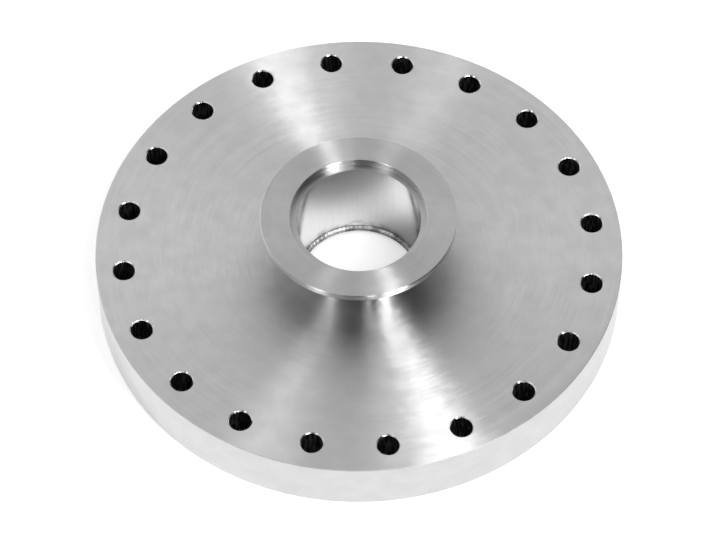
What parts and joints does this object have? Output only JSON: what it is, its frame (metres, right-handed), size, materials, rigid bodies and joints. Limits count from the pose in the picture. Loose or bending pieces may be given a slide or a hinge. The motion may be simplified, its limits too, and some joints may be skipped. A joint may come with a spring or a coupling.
{
  "type": "vacuum flange adapter",
  "caption": "Stainless steel vacuum adapter: a round bolted knife-edge flange with a short quick-release clamp stub welded in its centre and a bore right through.",
  "frame": {"origin": "centre of the bolted flange's sealing face, which the part lies on", "axes": "+Z along the bore axis, from the bolted flange towards the stub's clamped face; the two leak-check grooves lie on +X and -X"},
  "size_m": [0.2024, 0.2024, 0.0425],
  "materials": {
    "flange_steel": "lathe turned, fine circular tool marks",
    "stub_steel": "lathe turned outside, satin drawn tube inside",
    "weld_steel": "rippled weld, as laid"
  },
  "bodies": {
    "root": {"cf_flange": "flange_steel", "kf_stub": "stub_steel", "weld_bead": "weld_steel"}
  },
  "joints": []
}
